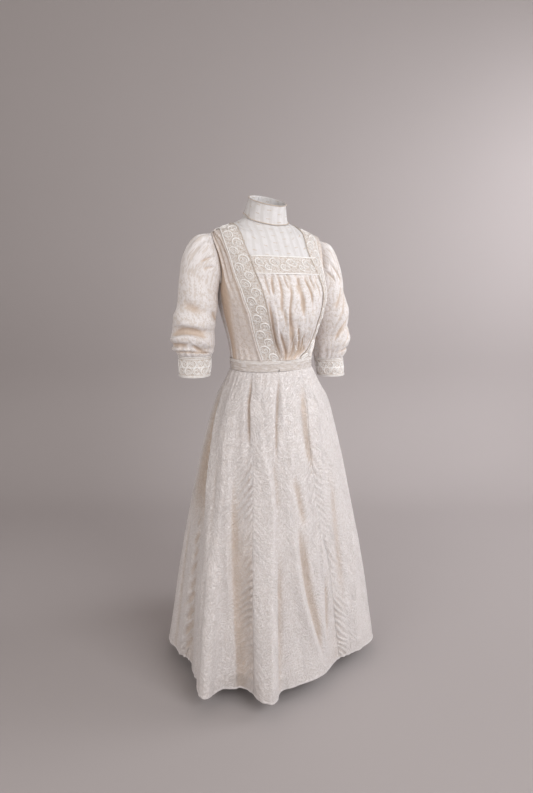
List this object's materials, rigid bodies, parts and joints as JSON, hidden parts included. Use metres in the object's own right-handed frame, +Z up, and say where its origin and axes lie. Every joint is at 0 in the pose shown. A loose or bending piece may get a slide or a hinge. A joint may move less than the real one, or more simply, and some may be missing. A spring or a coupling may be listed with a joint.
{
  "type": "dress",
  "caption": "Full-length ivory silk wedding dress in its hollow worn form, with net collar and yoke, embroidered V-bands, gathered front, puffed sleeves with cuffs, waistband and gored skirt.",
  "frame": {"origin": "between the shoulders, on the line where the dress hangs from its wearer, 1.43 m above the wearer's floor", "axes": "+Z up, -Y out of the dress's front, +X to the wearer's left"},
  "size_m": [0.6869, 0.6307, 1.5063],
  "materials": {
    "ivory_silk": "soft lustrous jacquard silk",
    "ivory_net": "fine matt net with woven stripes",
    "ivory_embroidery": "net worked with raised scrolls",
    "ivory_cord": "thin covered cord"
  },
  "bodies": {
    "root": {"back_placket": "ivory_silk", "centre_back_left": "ivory_silk", "centre_back_right": "ivory_silk", "side_back_left": "ivory_silk", "side_back_right": "ivory_silk", "side_front_left": "ivory_silk", "side_front_right": "ivory_silk", "skirt_back_left": "ivory_silk", "skirt_back_right": "ivory_silk", "skirt_front": "ivory_silk", "skirt_side_back_left": "ivory_silk", "skirt_side_back_right": "ivory_silk", "skirt_side_front_left": "ivory_silk", "skirt_side_front_right": "ivory_silk", "sleeve_left": "ivory_silk", "sleeve_right": "ivory_silk", "vest": "ivory_silk", "waistband": "ivory_silk", "waistband_lap": "ivory_silk", "collar": "ivory_net", "collar_lap": "ivory_net", "yoke_back_left": "ivory_net", "yoke_back_right": "ivory_net", "yoke_front": "ivory_net", "band_left": "ivory_embroidery", "band_right": "ivory_embroidery", "cuff_left": "ivory_embroidery", "cuff_right": "ivory_embroidery", "neckline_band": "ivory_embroidery", "collar_base_cord": "ivory_cord", "collar_top_cord": "ivory_cord", "neckline_piping": "ivory_cord", "waist_piping": "ivory_cord"}
  },
  "joints": []
}
